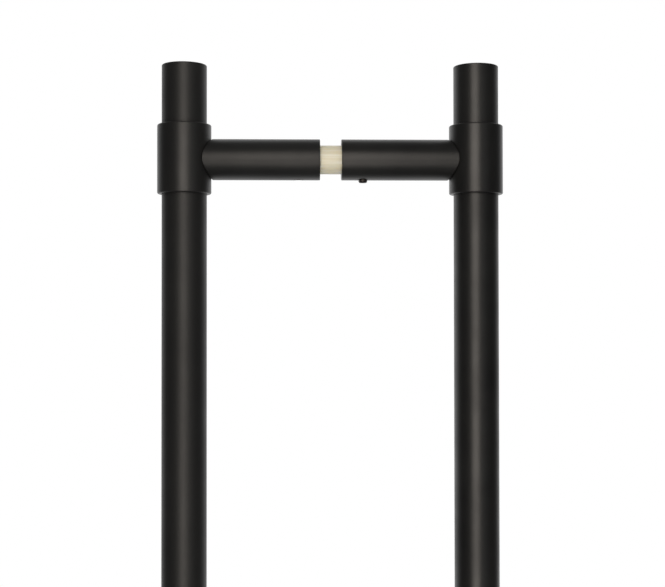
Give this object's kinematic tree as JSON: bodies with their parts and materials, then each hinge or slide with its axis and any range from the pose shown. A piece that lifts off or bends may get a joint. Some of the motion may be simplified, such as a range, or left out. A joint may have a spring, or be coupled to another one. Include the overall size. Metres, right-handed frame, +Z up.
{
  "type": "t-bar pull handle",
  "caption": "Back-to-back T-bar pull handle in matt black: straight tubes held in collars on round posts, tied through a door by sleeved studs and locked by grub screws.",
  "frame": {"origin": "middle of the door's thickness, halfway between the upper and the lower fixing", "axes": "+X along the posts from the left handle to the right one, +Y along the door's face, +Z up along the tubes"},
  "size_m": [0.193, 0.03, 0.6],
  "materials": {
    "matt_black_coat": "smooth satin-matt black powder coat on steel",
    "natural_nylon": "turned natural nylon, cream, slightly translucent",
    "turned_brass": "turned, bare",
    "bare_steel": "turned, bare",
    "zinc_plated_steel": "bright zinc plate",
    "black_oxide_steel": "black oxide, oiled"
  },
  "bodies": {
    "root": {"left_grip_tube": "matt_black_coat", "left_top_end_plug": "matt_black_coat", "left_bottom_end_plug": "matt_black_coat", "right_grip_tube": "matt_black_coat", "right_top_end_plug": "matt_black_coat", "right_bottom_end_plug": "matt_black_coat", "left_upper_collar": "matt_black_coat", "left_upper_post": "matt_black_coat", "left_upper_anchor_slug": "bare_steel", "left_upper_boss": "turned_brass", "left_lower_collar": "matt_black_coat", "left_lower_post": "matt_black_coat", "left_lower_anchor_slug": "bare_steel", "left_lower_boss": "turned_brass", "right_upper_collar": "matt_black_coat", "right_upper_post": "matt_black_coat", "right_upper_anchor_slug": "bare_steel", "right_upper_boss": "turned_brass", "right_lower_collar": "matt_black_coat", "right_lower_post": "matt_black_coat", "right_lower_anchor_slug": "bare_steel", "right_lower_boss": "turned_brass", "upper_door_sleeve": "natural_nylon", "lower_door_sleeve": "natural_nylon", "door_studs": "zinc_plated_steel", "clamp_bolts": "zinc_plated_steel", "grub_screws": "black_oxide_steel"}
  },
  "joints": []
}
